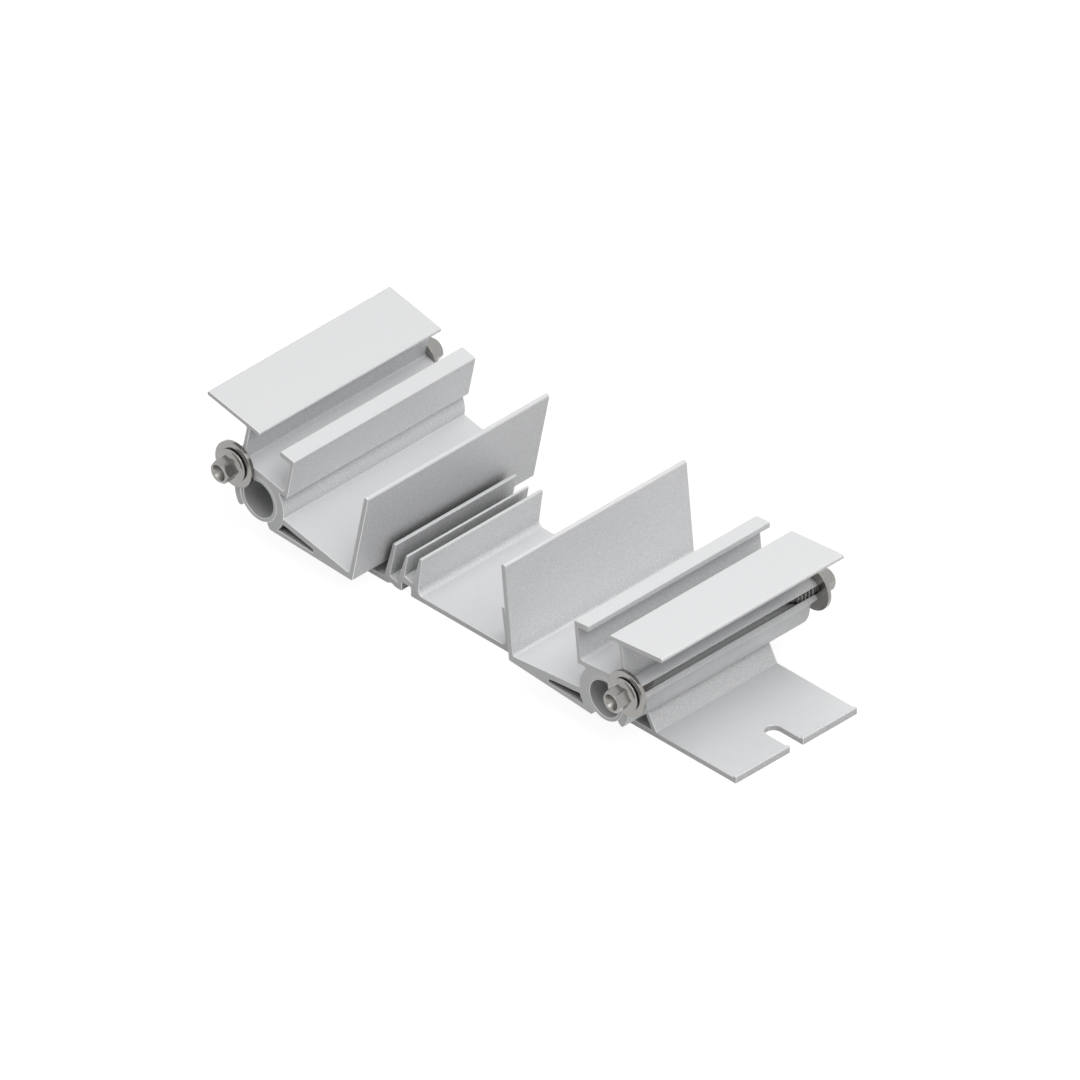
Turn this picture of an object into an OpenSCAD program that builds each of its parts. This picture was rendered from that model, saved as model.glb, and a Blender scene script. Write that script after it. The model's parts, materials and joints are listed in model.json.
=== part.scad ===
// Tilting support for a framed module on a flat roof.
// One extruded base rail carries two hinge tubes. A holder extrusion turns on each tube,
// and screws with large washers in the holder's ends lock it against the tube's ends.
// X runs along the base rail, Y along the extrusions, Z up from the roof.

/* [Overall] */
// Distance between the two hinge tube axes
axis_spacing = 285.8; // [270:0.1:320]
// Height of the hinge tube axes above the underside
axis_height = 31.5; // [30:0.1:36]
// Length of both holders
holder_len = 150; // [120:1:200]
// Length of the base plate, between the bare tube ends
base_len = 100; // [70:1:115]
// Tilt of the left holder, outer end up
left_tilt = 11.7; // [0:0.1:15]
// Tilt of the right holder, outer end up
right_tilt = 5.7; // [0:0.1:15]

/* [Hinge tube] */
// Outer diameter of a hinge tube
tube_d = 29.6; // [27:0.1:31]
// Wall of a hinge tube
tube_wall = 2.55; // [2:0.05:4]
// Radial play between tube and socket
socket_play = 0.06; // [0.03:0.01:0.1]
// Gap between each tube end and its washer
tube_end_play = 0.1; // [0.05:0.05:0.3]

/* [Base plate] */
// Thickness of the base plate
plate_t = 3.7; // [3:0.1:4.2]
// Reach of the right flange past the hinge tube axis
flange_reach = 83.7; // [60:0.1:110]
// Reach of the left plate edge past the hinge tube axis
left_reach = 22.4; // [20:0.1:30]
// Width of the raised bead on the flange edge
bead_w = 2.2; // [1.5:0.1:4]
// Height of the raised bead above the plate
bead_h = 1.1; // [0.5:0.1:2]
// Width of the fixing slot in the flange
slot_w = 10.9; // [9:0.1:13]
// Distance from the flange edge to the centre of the slot's round end
slot_depth = 19.1; // [12:0.1:26]

/* [Ridge under each tube] */
// Wall of the ridge's legs
ridge_wall = 3.2; // [2.5:0.1:4]
// Lean of the outer leg from upright
ridge_lean = 29.8; // [26:0.1:31]
// Foot of the outer leg, out from the tube axis
ridge_foot = 17.9; // [17.6:0.1:18.6]
// Inner face of the upright leg, in from the tube axis
ridge_inner = 4.5; // [3.5:0.1:4.8]
// Fillet at the foot of the upright leg
ridge_fillet = 2; // [1:0.1:3]

/* [Fins and pockets] */
// Outer foot of the outer fin, left of the middle
fin_1_foot = 64; // [62:0.1:67]
// Tip of the outer fin, left of the middle
fin_1_tip = 56.9; // [55:0.1:60]
// Thickness of the outer fin's tip
fin_1_tip_t = 2.6; // [1.6:0.1:3.4]
// Tip of the middle fin, left of the middle
fin_2_tip = 46.2; // [44.5:0.1:48]
// Thickness of the middle fin's tip
fin_2_tip_t = 1.7; // [1.2:0.1:2.4]
// Top of the middle fin above the underside
fin_2_top = 27.1; // [22:0.1:29]
// Top of the other three fins above the underside
fin_top = 30.4; // [26:0.1:32]
// Outer pocket's deeper corner, left of the middle
pocket_1_x = 59.5; // [58.5:0.1:60.5]
// Width of the outer pocket's floor
pocket_1_w = 6.3; // [5:0.1:7]
// Floor of the outer pocket above the underside, at the outer fin
pocket_1_floor = 6; // [5.4:0.1:7]
// Inner pocket's corner at the middle fin, left of the middle
pocket_2_x = 47.5; // [46.5:0.1:48.5]
// Width of the inner pocket's floor
pocket_2_w = 7; // [5:0.1:7.5]
// Floor of the inner pocket above the underside, at the middle fin
pocket_2_floor = 11.6; // [10.6:0.1:13]
// Fall of both pocket floors towards the middle
pocket_fall = 16; // [8:0.5:18]
// Half width of the channel between the two channel fins, at their tips
channel_half = 32.8; // [31.5:0.1:33.8]
// Thickness of the channel fins' tips
fin_3_tip_t = 2.2; // [1.6:0.1:3]
// Lean of the channel fins' inner faces
channel_lean = 7.8; // [5:0.1:9]
// Outer foot of the right channel fin, right of the middle
fin_4_foot = 41.5; // [39.5:0.1:44]
// Fillet at the foot of the channel fins
channel_fillet = 3.6; // [1:0.1:5]
// Left edge of the groove in the underside, left of the middle
groove_x = 49.7; // [49:0.1:50.2]
// Width of that groove
groove_w = 7.7; // [6:0.1:8.5]
// Height of that groove
groove_h = 6.5; // [4:0.1:7]
// Middle of the shallow flute in the underside, left of the middle
flute_x = 58; // [57:0.1:59]
// Width of that flute
flute_w = 7; // [4:0.1:8]
// Height of that flute
flute_h = 1.5; // [0.8:0.1:2]

/* [Holder socket] */
// Wall of the finger outside the tube
finger_t = 4.8; // [3.5:0.1:5.5]
// Wall of the socket on the wedge side
socket_t = 5.8; // [4.5:0.1:6.5]
// End of the finger, measured round from straight down
finger_end = 40.5; // [38:0.1:46]
// Rounding of the finger's tip
finger_round = 1.8; // [0.7:0.1:2.1]
// End of the wedge lip, measured round from straight down
lip_end = 39; // [37:0.1:44]

/* [Holder screw channel] */
// Screw channel axis, out from the tube axis
port_x = 21.4; // [20.5:0.1:23]
// Screw channel axis, above the tube axis
port_z = 12.7; // [11.5:0.1:14]
// Diameter of the screw channel
port_d = 9.6; // [9.5:0.05:10.2]
// Wall round the screw channel
port_wall = 2.4; // [2:0.1:3]
// Upper edge of the slot along the screw channel, above horizontal
slot_up = 31; // [24:0.5:40]
// Lower edge of that slot, below horizontal
slot_down = 46; // [40:0.5:50]
// Reach of the slot's lower lip from the channel's axis
lower_lip = 8.2; // [7.6:0.1:9]
// Slope of the lower lip's underside
lower_lip_slope = 42.6; // [38:0.1:46]
// Blend between the lower lip and the finger
lip_blend = 8; // [4:0.1:10]

/* [Holder clamp rail] */
// Height of the rail floor above the tube axis
rail_floor = 19.5; // [18.6:0.1:22]
// Thickness of the rail floor where it overhangs
rail_floor_t = 2.9; // [2:0.1:3.5]
// Top of the module rest above the tube axis
rest_top = 47; // [42:0.1:52]
// Thickness of the module rest
rest_t = 2.9; // [2:0.1:4]
// Reach of the module rest outside the stem
rest_out = 33.5; // [20:0.1:44]
// Reach of the module rest inside the stem
rest_in = 8; // [6:0.1:9]
// Thickness of the stem
stem_t = 2.6; // [2:0.1:4]
// Inner face of the stem, out from the tube axis
stem_x = 16.4; // [15.5:0.1:18]
// Inside width of the rail
rail_w = 34.4; // [32:0.1:36]
// Thickness of the hook's upright
hook_t = 2.6; // [2:0.1:4]
// Top of the hook above the tube axis
hook_top = 46; // [42:0.1:50]
// Thickness of the hook's lip
hook_lip_t = 3.8; // [2.5:0.1:5]
// Reach of the hook's lip over the rail
hook_lip = 9; // [6:0.1:10]
// Fillets inside the rail
rail_fillet = 2.6; // [1:0.1:4]
// Fillets where the module rest joins its stem
rest_fillet = 1.3; // [0.6:0.1:2]

/* [Holder trough] */
// Outer face of the tall wall from the tube axis
wall_x = 79.7; // [72:0.1:79.8]
// Thickness of the tall wall
wall_t = 3.3; // [2.5:0.1:4]
// Top of the tall wall above the tube axis
wall_top = 62.1; // [40:0.1:80]
// Thickness of the trough floor at the wall
floor_t = 3.8; // [3:0.1:4.5]
// Top of the trough floor relative to the tube axis
floor_z = 0; // [-0.5:0.1:1]
// Depth of the wedge at the socket, below the tube axis
wedge_depth = 15.1; // [14.6:0.1:16]
// Wall under the wedge's hollow
wedge_wall = 2.8; // [2:0.1:3.4]
// Wall between the socket's back and the wedge's hollow
hollow_wall = 6.4; // [5.6:0.1:7.4]
// Far end of the wedge's hollow from the tube axis
hollow_end = 47.2; // [36:0.1:52]
// Fillet between trough floor and tall wall
trough_fillet = 2; // [1:0.1:4]
// Undercut where the socket's back meets the clamp rail, from the tube axis
notch_x = 14.4; // [13.4:0.1:15.4]

/* [Screws and washers] */
// Outer diameter of the washers
washer_d = 30; // [27:0.1:32]
// Hole of the washers
washer_hole = 10.5; // [10.2:0.1:11]
// Thickness of the washers
washer_t = 2.5; // [2:0.1:3]
// Core diameter of the screws
screw_d = 9.4; // [9:0.05:9.45]
// Flange diameter of the screw heads
head_flange_d = 21.5; // [19:0.1:23]
// Rim height of the head flange
head_rim = 1.7; // [1:0.1:2.4]
// Height of the flange's cone above its rim
head_cone = 1.6; // [0.8:0.1:2.4]
// Width across the flats of the heads
head_flats = 13.2; // [12.8:0.1:16]
// Height of the heads
head_h = 12.4; // [9:0.1:14]
// Diameter of the hollow in the heads
head_bore = 10.3; // [8:0.1:10.6]
// Depth of the hollow in the heads
head_bore_depth = 9; // [6:0.1:10]
// Engaged length of the near screws, below the washer
near_screw_len = 17.5; // [12:0.1:30]
// Engaged length of the far screws up to their point
far_screw_len = 13.6; // [10:0.1:30]
// Length of the far screws' cone point
far_point_len = 9.6; // [6:0.1:12]
// Turn of the left near head
left_near_turn = 0; // [0:1:59]
// Turn of the left far head
left_far_turn = 53; // [0:1:59]
// Turn of the right near head
right_near_turn = 6; // [0:1:59]
// Turn of the right far head
right_far_turn = 13; // [0:1:59]

/* [Edges] */
// Radius on the exposed edges of the extrusions
edge_r = 0.7; // [0.3:0.1:0.9]
// Facets of a full circle
facets = 96; // [48:8:144]

/* [Hidden] */
$fn = facets;
tube_r = tube_d / 2;
bore_r = tube_r - tube_wall;
socket_r = tube_r + socket_play;
finger_r = socket_r + finger_t;
back_r = socket_r + socket_t;
port_r = port_d / 2;
lobe_r = port_r + port_wall;
washer_y = holder_len / 2;
tube_len = holder_len - 2 * tube_end_play;
base_left = -axis_spacing / 2 - left_reach;
base_right = axis_spacing / 2 + flange_reach;
hook_x = rail_w - stem_x;
aluminium = [0.82, 0.83, 0.84];
steel = [0.62, 0.61, 0.59];

// Unit vector at an angle from +X
function dir(a) = [cos(a), sin(a)];
// Unit vector along v
function unit(v) = v / norm(v);
// Arc round a centre from one angle to another, as points
function arc(centre, r, from, to) =
    let(steps = max(2, ceil(abs(to - from) / 360 * min(facets, 12 + 8 * r))))
    [for (i = [0:steps]) centre + r * dir(from + (to - from) * i / steps)];
// Fillet or round of radius r in the corner at one point, between its two neighbours
function rounded(before, at, after, r) =
    let(
        a = unit(before - at),
        b = unit(after - at),
        half = acos(a * b) / 2,
        middle = at + unit(a + b) * r / sin(half),
        start = at + a * r / tan(half) - middle,
        from = atan2(start[1], start[0]),
        turn = cross(b, a) > 0 ? 180 - 2 * half : 2 * half - 180
    )
    arc(middle, r, from, from + turn);
// Plain point of a corner
function at(corner) = [corner[0], corner[1]];
// Corner of radius r at a point
function soft(p, r) = [p[0], p[1], r];
// Corners along an arc
function arc_corners(centre, r, from, to) = [for (p = arc(centre, r, from, to)) soft(p, 0)];
// Outline through a loop of corners [x, z, radius], where a radius of 0 stays sharp
function outline(corners) = [
    for (i = [0:len(corners) - 1])
        let(
            here = corners[i],
            before = corners[(i + len(corners) - 1) % len(corners)],
            after = corners[(i + 1) % len(corners)]
        )
        each here[2] == 0 ? [at(here)] : rounded(at(before), at(here), at(after), here[2])
];
// Corners of one side, turned into those of the other side, still counter-clockwise
function mirrored(corners) = [
    for (i = [len(corners) - 1:-1:0]) [-corners[i][0], corners[i][1], corners[i][2]]
];
// Point at a height on the line through p that leans a from upright, towards +X
function lean_at(p, a, z) = [p[0] + (z - p[1]) * tan(a), z];

// Extrusion of a section drawn in X and Z, centred along Y
module extrude_y(length) {
    rotate([90, 0, 0]) linear_extrude(height = length, center = true) children();
}

// Round bar along Y through a point of the section
module bar_y(x, z, r, length) {
    translate([x, 0, z]) rotate([90, 0, 0]) cylinder(r = r, h = length, center = true);
}

// Blend between the lower lip of the screw channel and the finger: an arc that touches both
function lip_blend_corners(tip) =
    let(
        along = dir(-lower_lip_slope),
        out = dir(-lower_lip_slope - 90),
        start = tip + lip_blend * out,
        b = start * along,
        far = finger_r + lip_blend,
        middle = start + (-b - sqrt(b * b - start * start + far * far)) * along,
        end = atan2(-middle[1], -middle[0])
    )
    arc_corners(middle, lip_blend, 90 - lower_lip_slope, end);

// Section of a holder with its tube axis at the origin and its wall towards +X.
// The corners run counter-clockwise from the wedge's lip; the socket and the screw
// channel are bored out of it afterwards.
function holder_corners() =
    let(
        lip_a = lip_end - 90,
        finger_a = 270 - finger_end,
        port = [-port_x, port_z],
        stem_out = -stem_x - stem_t,
        rest_under = rest_top - rest_t,
        rest_edge = rest_t / 2 - 0.1,
        wall_edge = wall_t / 2 - 0.2,
        rail_under = rail_floor - rail_floor_t,
        lower_tip = port + lower_lip * dir(180 + slot_down),
        blend = lip_blend_corners(lower_tip),
        blend_end = at(blend[len(blend) - 1]),
        finger_top = atan2(-blend_end[1], -blend_end[0]) + 180,
        finger = arc_corners([0, 0], finger_r, finger_top, finger_a)
    )
    concat(
        [
            soft(socket_r / 2 * dir(lip_a), 0),
            [wedge_depth / tan(-lip_a), -wedge_depth, 1.2],
            [wall_x, floor_z - floor_t, 1.2],
            [wall_x, wall_top, wall_edge],
            [wall_x - wall_t, wall_top, wall_edge],
            [wall_x - wall_t, floor_z, trough_fillet]
        ],
        arc_corners([0, 0], back_r, asin(floor_z / back_r), acos(notch_x / back_r)),
        [
            [notch_x, rail_under, 1],
            [hook_x + hook_t, rail_under, edge_r],
            [hook_x + hook_t, hook_top, edge_r],
            [hook_x - hook_lip, hook_top, edge_r],
            [hook_x - hook_lip, hook_top - hook_lip_t, edge_r],
            [hook_x, hook_top - hook_lip_t, edge_r],
            [hook_x, rail_floor, rail_fillet],
            [-stem_x, rail_floor, rail_fillet / 2],
            [-stem_x, rest_under, rest_fillet],
            [-stem_x + rest_in, rest_under, rest_edge],
            [-stem_x + rest_in, rest_top, rest_edge],
            [stem_out - rest_out, rest_top, rest_edge],
            [stem_out - rest_out, rest_under, rest_edge],
            [stem_out, rest_under, rest_fillet]
        ],
        arc_corners(port, lobe_r, acos((port_x + stem_out) / lobe_r), 180 - slot_up),
        [
            soft(port + port_r / 2 * dir(180 - slot_up), 0),
            soft(port + port_r / 2 * dir(180 + slot_down), 0),
            soft(lower_tip, edge_r)
        ],
        blend,
        [for (i = [1:len(finger) - 3]) finger[i]],
        [
            soft(finger_r * dir(finger_a), finger_round),
            soft(socket_r / 2 * dir(finger_a), 0)
        ]
    );

// Hollow in the wedge, between the socket's back and the trough floor
function hollow_corners() =
    let(
        roof = floor_z - floor_t - 0.2,
        near_r = socket_r + hollow_wall,
        wedge_x = wedge_depth / tan(90 - lip_end),
        rise = (wedge_depth - floor_t + floor_z) / (wall_x - wedge_x),
        floor_a = 30
    )
    concat(
        arc_corners([0, 0], near_r, asin(roof / near_r), -floor_a),
        [
            [hollow_end, wedge_wall - wedge_depth + (hollow_end - wedge_x) * rise, 0.8],
            [hollow_end - 0.5, roof, 0.8]
        ]
    );

module holder() {
    color(aluminium) difference() {
        extrude_y(holder_len) polygon(outline(holder_corners()));
        extrude_y(holder_len + 2) polygon(outline(hollow_corners()));
        bar_y(0, 0, socket_r, holder_len + 2);
        bar_y(-port_x, port_z, port_r, holder_len + 2);
    }
}

// Right ridge and its tube's foot, from the outer foot over the top to the inner one.
// Both legs end inside the tube
function ridge_corners() =
    let(foot = [axis_spacing / 2 + ridge_foot, plate_t])
    [
        soft(foot, edge_r),
        soft(lean_at(foot, -ridge_lean, axis_height - tube_r / 2), 0),
        [axis_spacing / 2 - ridge_inner, axis_height - tube_r / 2, 0],
        [axis_spacing / 2 - ridge_inner, plate_t, ridge_fillet]
    ];

// Hollow of the right ridge
function ridge_hollow_corners() =
    let(
        inner = axis_spacing / 2 - ridge_inner + ridge_wall,
        outer = axis_spacing / 2 + ridge_foot - ridge_wall / cos(ridge_lean)
    )
    [
        [inner, plate_t, 0.4],
        [outer, plate_t, 0.4],
        soft(lean_at([outer, plate_t], -ridge_lean, axis_height - tube_r * 0.8), 0),
        [inner, axis_height - tube_r * 0.8, 0]
    ];

// Section of the base rail without its tubes, counter-clockwise from its left end's foot
function base_corners() =
    let(
        fall = tan(pocket_fall),
        channel_foot = lean_at([-channel_half, fin_top], channel_lean, plate_t)
    )
    concat(
        [
            [base_left, 0, edge_r],
            [-flute_x - flute_w / 2, 0, 0],
            [-flute_x, flute_h, 2],
            [-flute_x + flute_w / 2, 0, 0],
            [-groove_x, 0, edge_r],
            [-groove_x, groove_h, 2 * edge_r],
            [groove_w - groove_x, groove_h, 2 * edge_r],
            [groove_w - groove_x, 0, edge_r],
            [base_right, 0, edge_r],
            [base_right, plate_t + bead_h, edge_r],
            [base_right - bead_w, plate_t + bead_h, edge_r / 2],
            [base_right - bead_w, plate_t, edge_r / 2]
        ],
        ridge_corners(),
        [
            [fin_4_foot, plate_t, channel_fillet / 2],
            [channel_half + fin_3_tip_t, fin_top, edge_r],
            [channel_half, fin_top, edge_r],
            [-channel_foot[0], plate_t, channel_fillet],
            soft(channel_foot, channel_fillet),
            [-channel_half, fin_top, edge_r],
            [-channel_half - fin_3_tip_t, fin_top, edge_r],
            [pocket_2_w - pocket_2_x, pocket_2_floor - pocket_2_w * fall, edge_r],
            [-pocket_2_x, pocket_2_floor, edge_r],
            [fin_2_tip_t - fin_2_tip, fin_2_top, edge_r],
            [-fin_2_tip, fin_2_top, edge_r],
            [pocket_1_w - pocket_1_x, pocket_1_floor - pocket_1_w * fall, edge_r],
            [-pocket_1_x, pocket_1_floor, edge_r],
            [fin_1_tip_t - fin_1_tip, fin_top, edge_r],
            [-fin_1_tip, fin_top, edge_r],
            [-fin_1_foot, plate_t, 1]
        ],
        mirrored(ridge_corners()),
        [[base_left, plate_t, edge_r]]
    );

module base_rail() {
    slot_x = base_right - slot_depth;
    cut_h = plate_t + bead_h + 2;
    color(aluminium) difference() {
        union() {
            difference() {
                extrude_y(base_len) polygon(outline(base_corners()));
                extrude_y(base_len + 2) polygon(outline(ridge_hollow_corners()));
                extrude_y(base_len + 2) polygon(outline(mirrored(ridge_hollow_corners())));
            }
            for (side = [-1, 1]) bar_y(side * axis_spacing / 2, axis_height, tube_r, tube_len);
        }
        for (side = [-1, 1]) bar_y(side * axis_spacing / 2, axis_height, bore_r, tube_len + 2);
        translate([slot_x, 0, -1]) cylinder(d = slot_w, h = cut_h);
        translate([slot_x, -slot_w / 2, -1]) cube([slot_depth + 1, slot_w, cut_h]);
    }
}

// Places a child drawn in the holder's own frame on the left or right hinge tube
module on_left() {
    translate([-axis_spacing / 2, 0, axis_height]) rotate([0, left_tilt, 0]) children();
}

module on_right() {
    translate([axis_spacing / 2, 0, axis_height]) rotate([0, -right_tilt, 0]) mirror([1, 0, 0]) children();
}

// Places a child, drawn upright with its seat at Z zero, on the near or far end of the screw channel
module on_near_end() {
    translate([-port_x, -washer_y, port_z]) rotate([90, 0, 0]) children();
}

module on_far_end() {
    translate([-port_x, washer_y, port_z]) rotate([-90, 0, 0]) children();
}

module washer() {
    color(steel) difference() {
        cylinder(d = washer_d, h = washer_t);
        translate([0, 0, -1]) cylinder(d = washer_hole, h = washer_t + 2);
    }
}

// Hexagon head with a flange and a hollow, seated on the washer
module screw_head(turn) {
    corner_r = head_flats / 2 / cos(30);
    trim_r = corner_r - 0.6;
    trim_h = 1.6 * tan(30);
    cone_top = head_rim + head_cone;
    translate([0, 0, washer_t]) difference() {
        union() {
            rotate_extrude() polygon([
                [0, 0], [head_flange_d / 2, 0], [head_flange_d / 2, head_rim],
                [corner_r - 0.2, cone_top], [0, cone_top]
            ]);
            intersection() {
                rotate(turn) cylinder(r = corner_r, h = head_h, $fn = 6);
                rotate_extrude() polygon([
                    [0, 0], [corner_r + 1, 0], [corner_r + 1, head_h - trim_h],
                    [trim_r, head_h], [0, head_h]
                ]);
            }
        }
        translate([0, 0, head_h - head_bore_depth]) cylinder(d = head_bore, h = head_bore_depth + 1);
    }
}

// Screw with a flat, chamfered end
module near_screw(turn) {
    end_chamfer = 1;
    color(steel) {
        screw_head(turn);
        rotate_extrude() polygon([
            [0, washer_t + 0.5], [screw_d / 2, washer_t + 0.5],
            [screw_d / 2, end_chamfer - near_screw_len],
            [screw_d / 2 - end_chamfer, -near_screw_len], [0, -near_screw_len]
        ]);
    }
}

// Screw with a cone point
module far_screw(turn) {
    color(steel) {
        screw_head(turn);
        rotate_extrude() polygon([
            [0, washer_t + 0.5], [screw_d / 2, washer_t + 0.5],
            [screw_d / 2, -far_screw_len], [0, -far_screw_len - far_point_len]
        ]);
    }
}

module left_holder() { on_left() holder(); }
module right_holder() { on_right() holder(); }
module left_near_washer() { on_left() on_near_end() washer(); }
module left_near_screw() { on_left() on_near_end() near_screw(left_near_turn); }
module left_far_washer() { on_left() on_far_end() washer(); }
module left_far_screw() { on_left() on_far_end() far_screw(left_far_turn); }
module right_near_washer() { on_right() on_near_end() washer(); }
module right_near_screw() { on_right() on_near_end() near_screw(right_near_turn); }
module right_far_washer() { on_right() on_far_end() washer(); }
module right_far_screw() { on_right() on_far_end() far_screw(right_far_turn); }

base_rail();
left_holder();
right_holder();
left_near_washer();
left_near_screw();
left_far_washer();
left_far_screw();
right_near_washer();
right_near_screw();
right_far_washer();
right_far_screw();
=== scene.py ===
"""Finishes, cut edges, screw threads and stage for a tilting flat roof module support."""

import json
import math

import bpy
from bpy.props import FloatProperty, FloatVectorProperty, PointerProperty
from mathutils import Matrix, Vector


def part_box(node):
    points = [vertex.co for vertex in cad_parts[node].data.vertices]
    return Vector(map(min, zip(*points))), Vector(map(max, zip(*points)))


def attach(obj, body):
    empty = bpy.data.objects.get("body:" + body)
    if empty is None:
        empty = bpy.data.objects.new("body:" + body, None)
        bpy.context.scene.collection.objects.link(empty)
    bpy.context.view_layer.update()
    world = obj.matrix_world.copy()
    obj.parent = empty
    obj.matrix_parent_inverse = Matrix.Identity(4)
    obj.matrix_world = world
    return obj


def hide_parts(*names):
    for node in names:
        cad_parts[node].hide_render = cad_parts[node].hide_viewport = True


bl_info = {
    "name": "Flat roof module support",
    "version": (1, 0, 0),
    "blender": (4, 5, 0),
    "location": "3D View > Sidebar > Roof support",
    "description": "Finishes, screw threads and a studio for a roof support",
    "category": "Object",
}

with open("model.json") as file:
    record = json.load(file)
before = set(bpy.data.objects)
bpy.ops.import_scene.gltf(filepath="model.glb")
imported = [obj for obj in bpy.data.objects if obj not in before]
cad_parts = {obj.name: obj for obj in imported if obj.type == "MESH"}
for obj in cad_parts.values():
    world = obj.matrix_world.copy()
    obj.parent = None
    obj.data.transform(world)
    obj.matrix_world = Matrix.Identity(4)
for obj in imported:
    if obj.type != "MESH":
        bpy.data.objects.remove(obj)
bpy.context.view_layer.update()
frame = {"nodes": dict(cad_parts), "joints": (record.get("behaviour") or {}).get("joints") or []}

MM = 0.001
SIDES = ("left", "right")
ENDS = ("near", "far")
WHITE = (1.0, 1.0, 1.0, 1.0)
# Direction of a hexagon corner of each head, in degrees up from +X
HEAD_CORNERS = {"left_near": 60.0, "left_far": -5.0, "right_near": 0.0, "right_far": 19.0}

# Width of one node's column in the shader editor
NODE_SPACING = 180

# Noise values that count as lowest and highest, for soft tones and for the sharp speckle
NOISE_RANGE = (0.3, 0.7)
SPECKLE_RANGE = (0.4, 0.6)
# The grain's slow clouds: their scale against the fine grain's, and their share of the tone
CLOUD_SCALE = 0.02
CLOUD_SHARE = 0.35
# Spots between the turned rings: their scale, and their share of the tone
SPOT_SCALE = 900.0
SPOT_SHARE = 0.4
# Stretch of the die lines' noise, which hardly changes along Y
DIE_LINE_SQUEEZE = (1.0, 0.004, 1.0)
# Centre of the saw blade
SAW_CENTRE = (-0.05, 0.0, 0.42)
# Share of a normal along Y where the sawn mask starts and is full, and along Z for floors
SAWN_FACING = (0.85, 0.97)
FLOOR_FACING = (0.5, 0.95)
# Openness at which the masks of slits and of corners are full, and at which they end
SLIT_OPENNESS = (0.04, 0.4)
CORNER_OPENNESS = (0.35, 0.95)

# How strongly the grain shows in the open, and how much more in corners, in slits and on walls
OPEN_GRAIN = 0.04
CORNER_GRAIN = 0.3
SLIT_GRAIN = 0.6
UPRIGHT_GRAIN = 0.25
# Darkest and lightest shades, as shares of a finish's colour; those of slits and bores are painted
# shade
SKIN_SHADES = (0.74, 1.22)
CUT_SHADES = (0.97, 1.03)
PAINTED_SLIT_SHADES = (0.0, 0.14)
PAINTED_BORE_SHADES = (0.55, 0.95)
EDGE_SHADES = (0.94, 1.02)
STAINLESS_SHADES = (0.9, 1.08)
# Painted shade of corners and of thread roots, and how fully corners and slits take their painted
# shade
PAINTED_CORNER_SHADE = 0.2
PAINTED_ROOT_SHADE = 0.15
PAINTED_CORNER_SHARE = 0.2
PAINTED_SLIT_SHARE = 0.88
# How fully the thread takes its painted shade at the root and at the crest, and how deep the root
# is
PAINTED_THREAD_SHARE = (0.95, 0.4)
ROOT_REACH = 0.9 * MM
# Roughness where a surface's tone is lowest and where it is highest
SKIN_ROUGHNESS = (0.4, 0.48)
CUT_ROUGHNESS = (0.44, 0.54)
EDGE_ROUGHNESS = (0.3, 0.38)
STAINLESS_ROUGHNESS = (0.17, 0.27)
# How metallic the extruded skin and the broken edges are
ALUMINIUM_METALLIC = 0.08
EDGE_METALLIC = 0.8
# Depth of die lines and turned rings, and how strongly each of them shows
FINE_DEPTH = 0.03 * MM
DIE_LINE_STRENGTH = 0.25
RING_STRENGTH = 0.3
# Radii within which the aluminium is the inside of a screw channel or of a hinge tube, which takes
# a painted shade
CHANNEL_BORE = 4.9 * MM
HINGE_BORE = 12.3 * MM

# Dressing of the extrusions: distance at which points are joined, and angles in degrees
JOIN_REACH = 0.002 * MM
PLAIN_ANGLE = 0.4
EDGE_ANGLE = 40
# Angle above which turned pieces keep a crease, in degrees
CREASE_ANGLE = 38

# Flange heads: flat ring round the hollow, rounding of its edges, rounding of the corners
TOP_RING = 1.0 * MM
TOP_EDGE = 0.25 * MM
HEX_ROUNDING = 0.1 * MM
# Fall of the chamfer for each step outwards, and curve of the dished flange
CHAMFER_SLOPE = 0.8
DISH_CURVE = 1.7
# Flange's rim: radius, how far it is squashed, and how far in the groove under it reaches
RIM_EDGE = 1.0 * MM
RIM_SQUASH = 0.7
GROOVE_DEPTH = 1.7 * MM
# Threads: shares of half a pitch that crest and flank take up, and depths
CREST_SHARE = 0.1
FLANK_SHARE = 0.55
FINE_THREAD_DEPTH = 0.7 * MM
COARSE_THREAD_DEPTH = 1.05 * MM
# Height above the seat where the thread starts, and the shank's start below the washer's top
THREAD_START = 0.5 * MM
SHANK_GAP = 0.01 * MM
# Steps round a washer, down a dish, round a rim, along a thread's pitch and along a cone point
WASHER_STEPS = 96
DISH_STEPS = 8
RIM_STEPS = 10
THREAD_STEPS = 10
POINT_STEPS = 28

# Brightness of the studio's walls, from the horizon at 0 to straight up at 1
SKY_STEPS = ((0.0, 0.12), (0.3, 0.14), (0.48, 0.22), (0.62, 0.55), (0.8, 0.92), (1.0, 0.78))
# The floor's matt colour and its glow, as they light the support
FLOOR_COLOUR = (0.25, 0.25, 0.252, 1.0)
FLOOR_GLOW = (0.12, 0.12, 0.121, 1.0)
# The same, as the camera and mirroring metal see the floor
BACKDROP_COLOUR = (0.16, 0.16, 0.16, 1.0)
BACKDROP_GLOW = (0.92, 0.92, 0.92, 1.0)
# Gap between the base and the floor, which keeps them out of one plane
FLOOR_GAP = 0.2 * MM
# Soft boxes: name, place, width, height and power in watts, all aimed at one point
LAMPS = (
    ("overhead", (0.62, -0.05, 1.4), 1.2, 1.2, 9.0),
    ("strip", (1.2, -0.03, 1.2), 0.06, 1.7, 2.6),
)
LAMP_TARGET = (0.0, 0.0, 0.04)
# Centre of the picture, to the right and up from the origin, and the camera's distance
VIEW_RIGHT = 10.34 * MM
VIEW_UP = 29.61 * MM
CAMERA_DISTANCE = 2.0


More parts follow.
